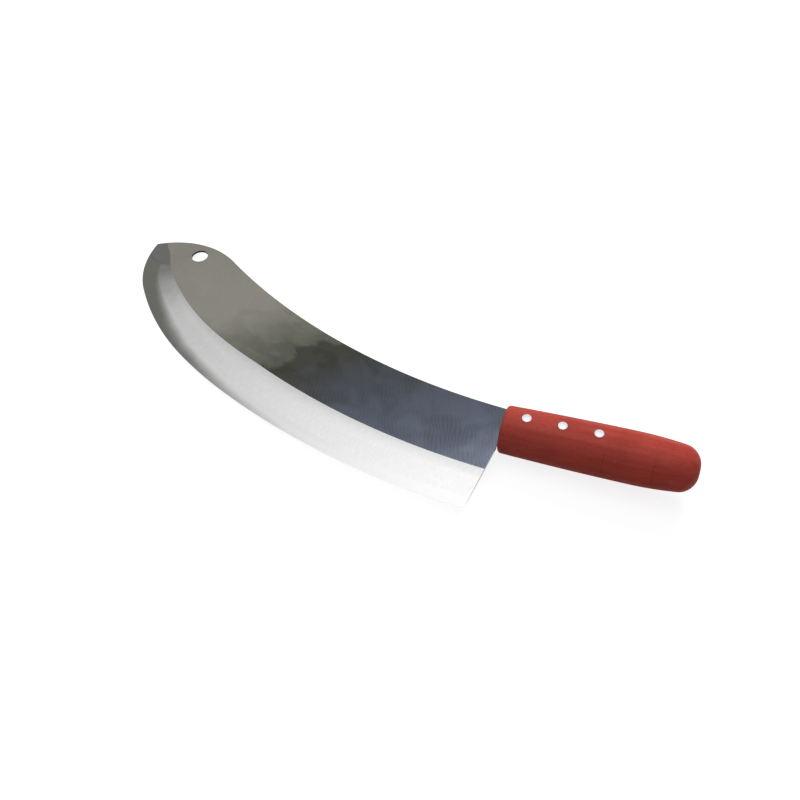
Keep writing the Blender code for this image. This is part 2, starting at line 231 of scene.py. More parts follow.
@dataclass(frozen=True)
class KnifeFrame:
    """The knife's own axes in the world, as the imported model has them."""

    origin: Array
    axes: Array

    @classmethod
    def from_model(cls, record: dict, first: float, rise: float) -> "KnifeFrame":
        """Finds the frame from the blade's flat and from the first and last rivets.

        Args:
            record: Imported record, whose near_flat mount gives the blade's normal.
            first: Place along the handle of the first rivet.
            rise: Height of the rivets towards the spine.

        Returns:
            The knife's frame.
        """
        mount = next(m for m in record["mounts"] if m["name"] == "near_flat")
        front, rear = (np.mean(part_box(name), axis=0) for name in ("rivet_front", "rivet_rear"))
        normal = np.array(mount["axis"], dtype=float)
        along = rear - front
        along -= normal * (along @ normal)
        along /= np.linalg.norm(along)
        axes = np.array([along, np.cross(normal, along), normal])
        return cls(front - first * axes[0] - rise * axes[1], axes)

    def to_world(self, points: Array) -> Array:
        """Turns points of the knife's frame into world points."""
        return self.origin + points @ self.axes

    def place_in(self, nodes: Nodes) -> Socket:
        """Gives a material the place of a surface point in the knife's frame, in metres.

        Args:
            nodes: The material's nodes.

        Returns:
            The place.
        """
        sockets = {
            "Vector": nodes.add("TexCoord", out="Object"),
            "Location": Vector(self.origin.tolist()),
            "Rotation": Matrix(self.axes.T.tolist()).to_euler(),
        }
        return nodes.add("Mapping", sockets, vector_type="TEXTURE")


def other_side(points: Array) -> Array:
    """The same points mirrored in the blade's plane."""
    return points * np.array([1.0, 1.0, -1.0])


def at_height(plan: Array, height: Array | float) -> Array:
    """Gives points in plan a height as their third coordinate."""
    tall = np.broadcast_to(np.asarray(height, dtype=float), plan.shape[:-1])
    return np.concatenate([plan, tall[..., None]], axis=-1)


def arc_lengths(points: Array) -> Array:
    """Distance of each point of a line from its first one, along the line."""
    steps = np.linalg.norm(np.diff(points, axis=0), axis=1)
    return np.concatenate([[0.0], np.cumsum(steps)])


def quarter_turn(count: int) -> Array:
    """Angles from 0 to a right angle."""
    return np.linspace(0.0, math.pi / 2.0, count)


def direction(angle: Array | float) -> Array:
    """Unit vectors in plan at angles from +Y, turning towards +X."""
    return np.stack([np.sin(angle), np.cos(angle)], axis=-1)


def full_turn(sides: int) -> Array:
    """Bearings once round, of which the last is exactly the first."""
    return np.append(np.linspace(0.0, 2.0 * math.pi, sides + 1)[:-1], 0.0)


def ring_round(hub: Array, radius: float) -> Array:
    """Circle in plan about a middle, closed by its first point."""
    bearing = full_turn(RING_SIDES)
    return hub + radius * np.column_stack([np.cos(bearing), np.sin(bearing)])


def all_cells(grid: Array) -> Array:
    """True for every cell of a grid of points."""
    return np.ones((grid.shape[0] - 1, grid.shape[1] - 1), dtype=bool)


def sweep_between(first: Array, last: Array, shares: Array) -> Array:
    """Grid of points that runs straight from one line to another.

    Args:
        first: Points of the line where the share is 0.
        last: Points of the line where the share is 1, as many as in the first.
        shares: Share of each column.

    Returns:
        Array of line points, shares and coordinates.
    """
    return first[:, None] + (last - first)[:, None] * shares[None, :, None]


def walk_arcs(start: Array, heading: float, arcs: Sequence[Pair], spacing: float) -> tuple[Array, Array]:
    """Points along tangent arcs: each is the centre plus the radius times the turning normal.

    Args:
        start: First point.
        heading: Direction in which the first arc leaves it.
        arcs: Radius and turn of each arc, with a positive turn to the left.
        spacing: Greatest distance between points.

    Returns:
        The points, start among them, and the heading at each.
    """
    points, headings = [start[None]], [np.array([heading])]
    for radius, turn in arcs:
        side = math.copysign(1.0, turn)
        centre = start + radius * side * direction(-heading)
        steps = max(2, math.ceil(radius * abs(turn) / spacing))
        angles = heading + turn * np.linspace(0.0, 1.0, steps + 1)[1:]
        points.append(centre - radius * side * direction(-angles))
        headings.append(angles)
        start, heading = points[-1][-1], float(angles[-1])
    return np.vstack(points), np.concatenate(headings)


def open_block(grid: Array, keep: Array, hub: Array, reach: float, side: float = 1.0) -> Array:
    """Takes the cells round a hole out of a grid.

    Args:
        grid: Points of the grid.
        keep: Cells that are kept, changed here.
        hub: Middle of the hole in plan.
        reach: Distance from the middle within which no cell is kept.
        side: 1 where the hole is in the near side of the grid, -1 in the far side.

    Returns:
        Points round the opened block, each once.
    """
    near = np.hypot(grid[..., 0] - hub[0], grid[..., 1] - hub[1]) < reach
    near &= side * grid[..., 2] > 0.0
    rows, columns = np.flatnonzero(near.any(axis=1)), np.flatnonzero(near.any(axis=0))
    i0, i1, k0, k1 = rows[0] - 1, rows[-1] + 1, columns[0] - 1, columns[-1] + 1
    keep[i0:i1, k0:k1] = False
    ahead, aside = np.arange(i0, i1), np.arange(k0, k1)
    row = np.concatenate([ahead, np.full(len(aside), i1), ahead[::-1] + 1, np.full(len(aside), i0)])
    column = np.concatenate([np.full(len(ahead), k0), aside, np.full(len(ahead), k1), aside[::-1] + 1])
    return grid[row, column]


def read(rows: bpy.types.bpy_prop_collection, name: str) -> Array:
    """One whole number of each row of a mesh, as an array.

    Args:
        rows: Faces, corners or values of an attribute.
        name: What is read.

    Returns:
        The numbers.
    """
    values = np.empty(len(rows), dtype=np.int32)
    rows.foreach_get(name, values)
    return values


def put_in_scene(name: str, data: bpy.types.ID) -> bpy.types.Object:
    """Makes an object of a mesh, lamp or camera and puts it in the scene.

    Args:
        name: Name of the object.
        data: Its mesh, lamp or camera.

    Returns:
        The object.
    """
    thing = bpy.data.objects.new(name, data)
    bpy.context.scene.collection.objects.link(thing)
    return thing


class Skin:
    """Grids and polygons of one piece in the knife's frame, welded into a closed mesh at the end."""

    def __init__(self) -> None:
        """Starts with no surface."""
        self.points: list[Array] = []
        self.flows: list[Array] = []
        self.faces: list[list[int]] = []
        self.zones: list[int] = []
        self.count = 0

    def add_points(self, points: Array, flow: Array | None = None) -> int:
        """Keeps points with their places along and across the grind.

        Args:
            points: Points, one to a row.
            flow: Distance along the edge and from it for each point, or None where nothing reads it.

        Returns:
            Number of the first point.
        """
        first = self.count
        self.points.append(points)
        self.flows.append(np.zeros((len(points), 2)) if flow is None else flow)
        self.count += len(points)
        return first

    def add_faces(self, faces: list[list[int]], zone: Zone) -> None:
        """Keeps faces of one zone, as lists of point numbers."""
        self.faces.extend(faces)
        self.zones.extend([int(zone)] * len(faces))

    def add_grid(
        self,
        points: Array,
        zone: Zone,
        flow: Array | None = None,
        keep: Array | None = None,
        both: bool = False,
    ) -> None:
        """Adds a grid of quads: cell (i, k) has the corners (i, k), (i+1, k), (i+1, k+1), (i, k+1).

        Args:
            points: Array of rows, columns and three coordinates.
            zone: Surface that the quads belong to.
            flow: Array of rows, columns and two distances along and across the grind.
            keep: True for each cell that is kept.
            both: True where the grid's mirror image in the blade's plane is added too.
        """
        rows, columns = points.shape[:2]
        corners = np.arange(rows * columns).reshape(rows, columns)
        cells = [corners[:-1, :-1], corners[1:, :-1], corners[1:, 1:], corners[:-1, 1:]]
        quads = np.stack(cells, axis=-1)
        chosen = quads.reshape(-1, 4) if keep is None else quads[keep]
        for side in (points, other_side(points))[: 1 + both]:
            first = self.add_points(side.reshape(-1, 3), None if flow is None else flow.reshape(-1, 2))
            self.add_faces((first + chosen).tolist(), zone)

    def add_polygon(self, points: Array, zone: Zone) -> None:
        """Adds one flat polygon.

        Args:
            points: Its corners in order.
            zone: Surface that it belongs to.
        """
        first = self.add_points(points)
        self.add_faces([list(range(first, first + len(points)))], zone)

    def add_bridge(self, rim: Array, ring: Array, hub: Array, zone: Zone) -> None:
        """Fills between the rim of an opened block and a ring inside it with triangles.

        Both loops are put in the order of their bearing from the hub. The triangles then step to
        whichever loop has the next bearing, until they are once round.

        Args:
            rim: Points round the opened block, each once.
            ring: Points of the ring, each once.
            hub: Middle of the ring in plan.
            zone: Surface that the triangles belong to.
        """
        loops, bearings = [], []
        for loop in (rim, ring):
            bearing = np.arctan2(loop[:, 1] - hub[1], loop[:, 0] - hub[0])
            order = np.argsort(bearing)
            loops.append(loop[order])
            bearings.append(bearing[order])
        first = self.add_points(np.vstack(loops))
        rim_count, ring_count = len(rim), len(ring)
        order = np.argsort(np.concatenate(bearings), kind="stable")
        from_ring = order >= rim_count
        rim_now = (np.cumsum(~from_ring) - 1) % rim_count
        ring_now = (np.cumsum(from_ring) - 1) % ring_count
        rim_last = np.where(from_ring, rim_now, (rim_now - 1) % rim_count)
        ring_last = np.where(from_ring, (ring_now - 1) % ring_count, ring_now)
        third = np.where(from_ring, rim_count + ring_now, rim_now)
        triangles = first + np.column_stack([rim_last, rim_count + ring_last, third])
        self.add_faces(triangles.tolist(), zone)

    def open_hole(
        self, grid: Array, keep: Array, hub: Array, reach: float, ring: Array, zone: Zone
    ) -> None:
        """Opens a block of a grid for a hole and fills up to the hole's ring, here and in the mirror.

        Args:
            grid: Points of the grid, which is added with its mirror image.
            keep: Cells of the grid that are kept, changed here.
            hub: Middle of the hole in plan.
            reach: Distance from the middle within which no cell is kept.
            ring: Points round the hole, closed by the first.
            zone: Surface that the filling belongs to.
        """
        rim = open_block(grid, keep, hub, reach)
        self.add_bridge(rim, ring[:-1], hub, zone)
        self.add_bridge(other_side(rim), other_side(ring[:-1]), hub, zone)

    def build(self, name: str, frame: KnifeFrame, finishes: Finishes) -> bpy.types.Object:
        """Welds the surface, turns its faces out and keeps the arrises between its zones crisp.

        The places along and across the grind go into a UV map, corner by corner, before the weld.

        Args:
            name: Name of the piece.
            frame: The knife's frame.
            finishes: Material of each set of zones.

        Returns:
            The piece, with its place in its mesh.
        """
        mesh = bpy.data.meshes.new(name)
        mesh.from_pydata(frame.to_world(np.vstack(self.points)).tolist(), [], self.faces)
        mesh.attributes.new("zone", "INT", "FACE").data.foreach_set("value", self.zones)
        flow = mesh.uv_layers.new(name=FLOW_MAP)
        flow.data.foreach_set("uv", np.vstack(self.flows)[read(mesh.loops, "vertex_index")].ravel())
        shape = bmesh.new()
        shape.from_mesh(mesh)
        bmesh.ops.remove_doubles(shape, verts=shape.verts, dist=WELD)
        bmesh.ops.recalc_face_normals(shape, faces=shape.faces)
        open_edges = sum(1 for edge in shape.edges if not edge.is_manifold)
        shape.to_mesh(mesh)
        shape.free()
        self.mark_arrises(mesh)
        zones = read(mesh.attributes["zone"].data, "value")
        slots = np.zeros(len(zones), dtype=np.int32)
        for slot, (group, material) in enumerate(finishes):
            mesh.materials.append(material)
            slots[np.isin(zones, [int(zone) for zone in group])] = slot
        mesh.polygons.foreach_set("material_index", slots)
        mesh.attributes.remove(mesh.attributes["zone"])
        LOG.info("%s: %d faces, %d open edges", name, len(mesh.polygons), open_edges)
        return put_in_scene(name, mesh)

    @staticmethod
    def mark_arrises(mesh: bpy.types.Mesh) -> None:
        """Shades the mesh smooth, but for the edges where two zones meet.

        Args:
            mesh: Welded mesh with a zone for each face.
        """
        zones = read(mesh.attributes["zone"].data, "value")
        zones = np.repeat(zones, read(mesh.polygons, "loop_total"))
        edges = read(mesh.loops, "edge_index")
        low = np.full(len(mesh.edges), len(Zone))
        high = np.full(len(mesh.edges), -1)
        np.minimum.at(low, edges, zones)
        np.maximum.at(high, edges, zones)
        mesh.shade_smooth()
        sharp = mesh.attributes.new("sharp_edge", "BOOLEAN", "EDGE")
        sharp.data.foreach_set("value", low != high)


@dataclass
class Rivet:
    """A rivet through handle and tang, with a domed head at both ends."""

    node: str
    place: float
    rise: float = 0.0020
    shank_radius: float = 0.0025
    head_radius: float = 0.0045
    head_rim: float = 0.0004
    head_height: float = 0.0017
    broken_arris: float = 0.0001
    gap: float = 0.0003
    sides: int = 96
    dome_points: int = 15

    def hub(self) -> Array:
        """Middle of the rivet in plan."""
        return np.array([self.place, self.rise])

    def build(self, frame: KnifeFrame, seat: float, finish: Material) -> bpy.types.Object:
        """Turns the rivet: a profile of radii and heights carried round its axis.

        The dome's profile is a quarter of an ellipse, radius = head cos a and height = dome sin a.

        Args:
            frame: The knife's frame.
            seat: Height of the seat under its head.
            finish: The metal's material.

        Returns:
            The rivet.
        """
        under = seat + self.gap
        angles = quarter_turn(self.dome_points)
        dome = self.head_height - self.head_rim
        base = [self.shank_radius, self.head_radius - self.broken_arris, self.head_radius]
        radii = np.concatenate([base, self.head_radius * np.cos(angles)])
        radii[-1] = 0.0
        base = [under, under, under + self.broken_arris]
        heights = np.concatenate([base, under + self.head_rim + dome * np.sin(angles)])
        radii = np.concatenate([radii[::-1], radii])
        heights = np.concatenate([-heights[::-1], heights])
        bearing = full_turn(self.sides)
        across = self.place + radii * np.cos(bearing)[:, None]
        up = self.rise + radii * np.sin(bearing)[:, None]
        points = np.stack([across, up, np.broadcast_to(heights, across.shape)], axis=-1)
        skin, head = Skin(), len(angles)
        skin.add_grid(points[:, : head + 1], Zone.OUTER)
        skin.add_grid(points[:, head : head + 3], Zone.FACE)
        skin.add_grid(points[:, head + 2 : head + 4], Zone.CUT)
        skin.add_grid(points[:, head + 3 : head + 6], Zone.FACE)
        skin.add_grid(points[:, head + 5 :], Zone.OUTER)
        return skin.build(self.node + "_turned", frame, [(set(Zone), finish)])


@dataclass
class Handle:
    """The one-piece wooden handle, sawn for the tang and spot-faced for the rivets."""

    length: float = 0.180
    widths: Triple = (0.0480, 0.0528, 0.0390)
    thicknesses: Triple = (0.0406, 0.0424, 0.0404)
    swell_place: float = 0.120
    front_rounding: float = 0.0035
    butt_rounding: float = 0.0155
    slot_half: float = 0.0016
    slot_floor: float = -0.0103
    slot_end: float = 0.1063
    seat_radius: float = 0.0048
    bore_radius: float = 0.0028
    broken_arris: float = 0.0002
    sides: int = 168
    spacing: float = 0.0014
    rounding_points: int = 17
    crown_points: int = 5
    wall_points: int = 19

    def half(self, place: Array | float, sizes: Triple) -> Array:
        """Half of a width or thickness: the swell less a parabola to the front and one to the butt.

        Args:
            place: Places along the handle.
            sizes: The size at the front, at the swell and at the butt.

        Returns:
            Half of the size at each place.
        """
        front, swell, butt = sizes
        before = np.clip((self.swell_place - place) / self.swell_place, 0.0, 1.0)
        after = np.clip((place - self.swell_place) / (self.length - self.swell_place), 0.0, 1.0)
        return (swell - (swell - front) * before**2 - (swell - butt) * after**2) / 2.0

    def half_width(self, place: Array | float) -> Array:
        """Half of the width across the blade's plane."""
        return self.half(place, self.widths)

    def half_thickness(self, place: Array | float) -> Array:
        """Half of the thickness through the blade's plane."""
        return self.half(place, self.thicknesses)

    def drawn_in(self, place: Array) -> Array:
        """How far the quarter-rounds at the front and the butt draw the surface in.

        Each draws it in by its radius less the root of the radius squared less the reach squared,
        where the reach is how far a place lies in the rounded part.

        Args:
            place: Places along the handle.

        Returns:
            How far the surface is drawn in at each place.
        """
        front = np.clip(self.front_rounding - place, 0.0, self.front_rounding)
        butt = np.clip(place - self.length + self.butt_rounding, 0.0, self.butt_rounding)
        drawn = self.front_rounding - np.sqrt(self.front_rounding**2 - front**2)
        return drawn + self.butt_rounding - np.sqrt(self.butt_rounding**2 - butt**2)

    def places(self) -> tuple[Array, int]:
        """Places of the rings along the handle, closer together round its ends.

        Returns:
            The places, and the number of the one at the slot's end.
        """
        quarter = quarter_turn(self.rounding_points)
        front = self.front_rounding * (1.0 - np.cos(quarter[::2]))
        butt = self.length - self.butt_rounding * (1.0 - np.sin(quarter))
        steps = math.ceil((self.slot_end - front[-1]) / self.spacing)
        along = np.linspace(front[-1], self.slot_end, steps + 1)[1:]
        steps = math.ceil((butt[0] - self.slot_end) / self.spacing)
        beyond = np.linspace(self.slot_end, butt[0], steps + 1)[1:-1]
        return np.concatenate([front, along, beyond, butt]), len(front) + len(along) - 1

    def seat_height(self, rivet: Rivet) -> float:
        """Height of a rivet's spot-faced seat, the lowest wood under its head."""
        share = (rivet.rise + self.seat_radius) / float(self.half_width(rivet.place))
        return float(self.half_thickness(rivet.place)) * math.sqrt(1.0 - share**2)

    def surface(self, plan: Array) -> Array:
        """Height of the near surface over points in plan, away from the rounded ends."""
        share = plan[:, 1] / self.half_width(plan[:, 0])
        return self.half_thickness(plan[:, 0]) * np.sqrt(1.0 - share**2)

    def build(self, frame: KnifeFrame, rivets: Sequence[Rivet], finish: Material) -> bpy.types.Object:
        """Makes the handle.

        Each ring of its outside is an oval, y = width cos a and z = thickness sin a, from one lip of
        the slot round the belly to the other. The slot's walls go straight down from the lips, and a
        narrow strip closes the oval beyond the slot's end.

        Args:
            frame: The knife's frame.
            rivets: Rivets that the handle is bored and spot-faced for.
            finish: The wood's material.

        Returns:
            The handle.
        """
        skin = Skin()
        places, last = self.places()
        inset = self.drawn_in(places)
        wide, thick = self.half_width(places) - inset, self.half_thickness(places) - inset
        lip = np.arcsin(self.slot_half / thick)

        def ovals(rows: slice, angles: Array) -> Array:
            """Points of the ovals of some rings at an angle for each ring and column."""
            across, up = wide[rows, None] * np.cos(angles), thick[rows, None] * np.sin(angles)
            return np.stack([np.broadcast_to(places[rows, None], angles.shape), across, up], axis=-1)

        shares = np.linspace(0.0, 1.0, self.sides + 1)
        outer = ovals(slice(None), lip[:, None] + (2.0 * math.pi - 2.0 * lip[:, None]) * shares)
        crown = ovals(slice(last, None), lip[last:, None] * np.linspace(-1.0, 1.0, self.crown_points))
        lips = outer[: last + 1, 0]
        floor = lips.copy()
        floor[:, 1] = self.slot_floor
        wall = sweep_between(lips, floor, np.linspace(0.0, 1.0, self.wall_points))

        keep_outer, keep_wall = all_cells(outer), all_cells(wall)
        for rivet in rivets:
            self.bore(skin, rivet, (outer, keep_outer), (wall, keep_wall))
        skin.add_grid(outer, Zone.OUTER, keep=keep_outer)
        skin.add_grid(crown, Zone.OUTER)
        skin.add_grid(wall, Zone.CUT, keep=keep_wall, both=True)
        skin.add_grid(np.stack([floor, other_side(floor)], axis=1), Zone.FACE)
        skin.add_polygon(np.vstack([outer[0], other_side(wall[0, 1:]), wall[0, :0:-1]]), Zone.OUTER)
        skin.add_polygon(np.vstack([wall[-1], other_side(wall[-1, ::-1]), crown[0, 1:-1]]), Zone.FACE)
        skin.add_polygon(np.vstack([outer[-1], crown[-1, 1:-1]]), Zone.OUTER)
        return skin.build("handle_wood", frame, [(set(Zone), finish)])

    def bore(
        self,
        skin: Skin,
        rivet: Rivet,
        outside: tuple[Array, Array],
        slot_wall: tuple[Array, Array],
    ) -> None:
        """Sinks a seat for each head of a rivet and bores from it to the slot.

        The tube's rows are rings: on the wood, just under its broken arris, at the seat's rim, at the
        bore's rim and at the slot's wall.

        Args:
            skin: The handle's surface.
            rivet: The rivet.
            outside: Grid of the handle's outside and its kept cells, changed here.
            slot_wall: Grid of the slot's near wall and its kept cells, changed here.
        """
        hub, level = rivet.hub(), self.seat_height(rivet)
        wide = ring_round(hub, self.seat_radius + self.broken_arris)
        seat, bore = ring_round(hub, self.seat_radius), ring_round(hub, self.bore_radius)
        edge = at_height(wide, self.surface(wide))
        drop = at_height(seat, np.maximum(self.surface(seat) - self.broken_arris, level))
        mouth = at_height(bore, self.slot_half)
        tube = [edge, drop, at_height(seat, level), at_height(bore, level), mouth]
        skin.add_grid(np.array(tube), Zone.CUT, both=True)
        for side, ring in ((1.0, edge), (-1.0, other_side(edge))):
            rim = open_block(*outside, hub, self.seat_radius + self.spacing, side)
            skin.add_bridge(rim, ring[:-1], hub, Zone.OUTER)
        skin.open_hole(*slot_wall, hub, self.bore_radius + self.spacing, mouth, Zone.CUT)


@dataclass(frozen=True)
class Outline:
    """Lines of the blade from the heel to the head, point for point."""

    edge: Array
    facet: Array
    bevel: Array
    back: Array
    outward: Array
    rounding: Array

    def run(self) -> Array:
        """Distance along the edge from the heel."""
        return arc_lengths(self.edge)


@dataclass
class Blade:
    """The ground blade and its tang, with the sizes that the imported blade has."""

    spine_height: float = 0.0226
    spine_slope: float = math.radians(4.1)
    spine_radius: float = 0.6773
    width: float = 0.1188
    heel_setback: float = 0.0108
    heel_corner: float = 0.004
    belly_sweep: float = math.radians(19.7)
    head_arcs: tuple[Pair, ...] = (
        (0.498, math.radians(-8.1)),
        (0.2935, math.radians(-22.0)),
        (0.098, math.radians(-42.5)),
    )
    head_corner: float = math.radians(114.9)
    head_line: float = 0.0196
    shoulder_radius: float = 0.0878
    thickness: float = 0.0032
    bevel_width: float = 0.046
    facet_width: float = 0.012
    facet_thickness: float = 0.0016
    edge_thickness: float = 0.0003
    bevel_taper: float = 0.23
    tip_run: float = 0.001
    arris: float = 0.0003
    arris_fade: float = 0.010
    hole_radius: float = 0.00895
    hole_inset: float = 0.0167
    hole_sweep: float = math.radians(26.4)
    tang_thickness: float = 0.0026
    tang_length: float = 0.106
    tang_bottom: float = -0.010
    tang_run_up: float = 0.0096
    bore_radius: float = 0.0028
    gap: float = 0.0003
    spacing: float = 0.0022
    back_spacing: float = 0.000275
    bend_fade: float = 0.030
    corner_points: int = 9
    arris_points: int = 4
    facet_columns: int = 6
    bevel_columns: int = 14

    def centre(self) -> Array:
        """Centre of the spine's arc, about which the belly is concentric."""
        rise = self.spine_height + self.spine_radius * math.cos(self.spine_slope)
        return np.array([self.spine_radius * math.sin(self.spine_slope), rise])

    def across(self) -> Array:
        """Shares of the blade's half thickness at which the columns of its end walls stand."""
        part_way = self.tang_thickness / self.thickness
        return np.array([1.0, part_way, -part_way, -1.0])

    def heel_crossing(self, radius: float, half_front: float) -> float:
        """Angle about the spine's centre where the heel's straight line crosses a circle.

        The crossing is the greater root of the quadratic for the circle's radius along the line.

        Args:
            radius: The circle's radius.
            half_front: Half of the handle's width at its front.

        Returns:
            The angle from straight down.
        """
        centre = self.centre()
        outer = self.spine_radius + self.width
        first = math.asin((centre[0] + self.heel_setback) / outer)
        top = np.array([-self.gap, -half_front]) - centre
        along = -outer * direction(first) - top
        a, b, c = along @ along, 2.0 * top @ along, top @ top - radius * radius
        point = top + along * (-b + math.sqrt(b * b - 4.0 * a * c)) / (2.0 * a)
        return math.atan2(-point[0], -point[1])

    def outline(self, half_front: float) -> Outline:
        """Edge, facet line, bevel line and back from the heel to the head.

        On the belly the ground lines are arcs about the spine's centre. Round the head each is the
        edge moved inwards by its width times a small power of the share of the head that is left. The
        back is the spine's arc and then the shoulder's, which touches it and ends at the head line.

        Args:
            half_front: Half of the handle's width at its front.

        Returns:
            The lines.
        """
        outer, centre = self.spine_radius + self.width, self.centre()
        insets = (0.0, self.facet_width, self.bevel_width)
        start = self.heel_crossing(outer, half_front)
        end, length = start + self.belly_sweep, outer * self.belly_sweep
        corner = (1.0 - np.cos(quarter_turn(self.corner_points))) * self.heel_corner / length
        plain = np.linspace(corner[-1], 1.0, math.ceil(length / self.spacing) + 1)
        shares = np.concatenate([corner, plain[1:]])
        belly = []
        for inset in insets:
            first = self.heel_crossing(outer - inset, half_front)
            angles = first + (end - first) * shares
            belly.append(centre - (outer - inset) * direction(angles))
        rest = np.clip(self.heel_corner - shares * length, 0.0, None)
        lift = self.heel_corner - np.sqrt(self.heel_corner**2 - rest**2)
        inward = centre - belly[0]
        belly[0] += lift[:, None] * inward / np.linalg.norm(inward, axis=1)[:, None]

        foot = centre - outer * direction(end)
        head, headings = walk_arcs(foot, math.pi - end, self.head_arcs, self.spacing)
        run = arc_lengths(head)
        narrowing = ((np.clip(run[-1] - run, self.tip_run, None) / run[-1]) ** self.bevel_taper)[:, None]
        inward = direction(math.pi - headings)
        along = headings[-1] - (math.pi - self.head_corner)
        inward[-1] = (math.cos(along), math.sin(along))
        lines = [
            np.vstack([line, (head + inset * narrowing * inward)[1:]])
            for line, inset in zip(belly, insets)
        ]

        back_end = head[-1] + self.head_line * inward[-1]
        reach, spread = float(np.linalg.norm(back_end - centre)), self.spine_radius + self.shoulder_radius
        between = (reach**2 + spread**2 - self.shoulder_radius**2) / (2.0 * reach * spread)
        touch = math.atan2(*(centre - back_end)) - math.acos(between)
        hub = centre - spread * direction(touch)
        sweep = math.atan2(*(back_end - hub)[::-1]) - (math.pi / 2.0 - touch)
        first = math.asin((centre[0] + self.gap) / self.spine_radius)
        turned = first + (end - first) * shares
        normals = direction(turned)
        spine = centre - self.spine_radius * normals
        arcs = ((self.spine_radius, end - touch), (self.shoulder_radius, sweep))
        rest, bearings = walk_arcs(spine[-1], math.pi - end, arcs, self.back_spacing)
        run = arc_lengths(rest)
        ahead = np.linspace(0.0, run[-1], len(head))[1:]
        bearings = np.interp(ahead, run, bearings)
        back = np.vstack([spine, np.column_stack([np.interp(ahead, run, axis) for axis in rest.T])])
        outward = np.vstack([normals, direction(math.pi - bearings)])
        outward[0] = (0.0, 1.0 / outward[0, 1])
        rounding = np.full(len(back), self.arris)
        rounding[len(spine) :] *= np.clip((run[-1] - ahead) / self.arris_fade, 0.0, 1.0)
        return Outline(*lines, back, outward, rounding)

    def hole_place(self, lines: Outline) -> Array:
        """Middle of the hanging hole, set in from the shoulder on a radius of its arc.

        Args:
            lines: The blade's lines.

        Returns:
            The middle in plan.
        """
        hub = lines.back[-1] - self.shoulder_radius * lines.outward[-1]
        bearing = math.atan2(lines.outward[-1, 1], lines.outward[-1, 0]) - self.hole_sweep
        reach = self.shoulder_radius - self.hole_inset
        return hub + reach * np.array([math.cos(bearing), math.sin(bearing)])

    def build(
        self,
        frame: KnifeFrame,
        handle: Handle,
        rivets: Sequence[Rivet],
        finishes: Finishes,
    ) -> bpy.types.Object:
        """Makes the blade and its tang as one piece of steel.

        Args:
            frame: The knife's frame.
            handle: The handle, whose back the tang follows.
            rivets: Rivets that the tang is bored for.
            finishes: Material of each set of the blade's surfaces.

        Returns:
            The blade.
        """
        skin = Skin()
        half_front = float(handle.half_width(0.0))
        lines = self.outline(half_front)
        grind = self.add_grind(skin, lines)
        flat, tang_row = self.add_flat(skin, lines, half_front)
        self.add_back(skin, lines)
        edge_wall = self.wall_under(grind[:, 0])
        run = np.broadcast_to(lines.run()[:, None], edge_wall.shape[:2])
        skin.add_grid(edge_wall, Zone.EDGE, np.stack([run, np.zeros(run.shape)], axis=-1))
        skin.add_grid(self.wall_under(np.vstack([grind[-1], flat[-1, 1:]])), Zone.END)
        heel_wall = self.wall_under(np.vstack([grind[0], flat[0, 1:]]))
        keep = all_cells(heel_wall)
        keep[grind.shape[1] - 1 + tang_row :, 1] = False
        skin.add_grid(heel_wall, Zone.END, keep=keep)
        self.add_tang(skin, flat[0, tang_row:], handle, rivets)
        return skin.build("blade_ground", frame, finishes)

    def wall_under(self, line: Array) -> Array:
        """Wall through the blade under a line of its near side, in columns at shares of its height.

        Args:
            line: Points of the line.

        Returns:
            Grid of the line's points and the wall's columns.
        """
        across = self.across()
        wall = np.repeat(line[:, None], len(across), axis=1)
        wall[..., 2] *= across
        return wall

    def add_grind(self, skin: Skin, lines: Outline) -> Array:
        """Adds the facet and the bevel, which run straight between the edge, facet and bevel lines.

        Args:
            skin: The blade's surface.
            lines: The blade's lines.

        Returns:
            Grid of the near side from the edge to the bevel line.
        """
        edge = at_height(lines.edge, self.edge_thickness / 2.0)
        facet = at_height(lines.facet, self.facet_thickness / 2.0)
        bevel = at_height(lines.bevel, self.thickness / 2.0)
        run, strips = lines.run()[:, None], []
        for first, last, steps, zone in (
            (edge, facet, self.facet_columns, Zone.FACET),
            (facet, bevel, self.bevel_columns, Zone.BEVEL),
        ):
            strip = sweep_between(first, last, np.linspace(0.0, 1.0, steps + 1))
            away = np.linalg.norm(strip - edge[:, None], axis=-1)
            flow = np.stack([np.broadcast_to(run, away.shape), away], axis=-1)
            skin.add_grid(strip, zone, flow, both=True)
            strips.append(strip)
        return np.concatenate([strips[0], strips[1][:, 1:]], axis=1)

